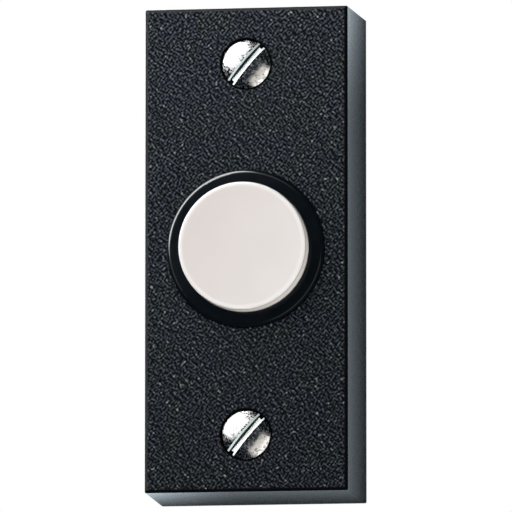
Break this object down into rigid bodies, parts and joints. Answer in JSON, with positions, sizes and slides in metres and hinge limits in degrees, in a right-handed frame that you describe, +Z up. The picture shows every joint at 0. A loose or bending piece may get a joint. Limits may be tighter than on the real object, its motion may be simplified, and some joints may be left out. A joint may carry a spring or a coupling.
{
  "type": "doorbell push button",
  "caption": "Surface-mounted doorbell push: upright box housing, round button in a bezel ring, leaf switch inside and two fixing screws.",
  "frame": {"origin": "centre of the plane that lies on the wall, midway between the two fixing screws", "axes": "+Y into the wall, so the button faces -Y; +Z up, along the line of the fixing screws; +X right for someone facing the push"},
  "size_m": [0.0326, 0.0347, 0.0766],
  "materials": {
    "housing": "fine grained, moulded",
    "bezel": "polished",
    "button": "satin gloss",
    "carrier": "natural moulding",
    "spring_steel": "drawn wire",
    "bronze": "rolled phosphor bronze",
    "brass": "pressed",
    "silver": "silver alloy",
    "small_screws": "zinc plated",
    "fixing_screws": "bright plated"
  },
  "bodies": {
    "case": {"housing": "housing", "bezel_ring": "bezel", "return_spring": "spring_steel", "switch_carrier": "carrier", "moving_contact": "bronze", "fixed_contact": "brass", "fixed_contact_tip": "silver", "leaf_rivet": "brass", "strip_rivet": "brass", "terminal_screw_upper": "small_screws", "terminal_screw_lower": "small_screws", "clamp_washer_upper": "small_screws", "clamp_washer_lower": "small_screws", "terminal_nut_upper": "brass", "terminal_nut_lower": "brass", "carrier_screw_left": "small_screws", "carrier_screw_right": "small_screws", "fixing_screw_top": "fixing_screws", "fixing_screw_bottom": "fixing_screws"},
    "button": {"push_button": "button", "moving_contact_tip": "silver"}
  },
  "joints": [
    {"name": "button_press", "type": "slide", "parent": "case", "child": "button", "axis": [0, 1, 0], "range_m": [0, 0.0015], "stiffness_N_per_m": 800, "springref_m": -0.002, "deforming": ["return_spring", "moving_contact"]}
  ]
}
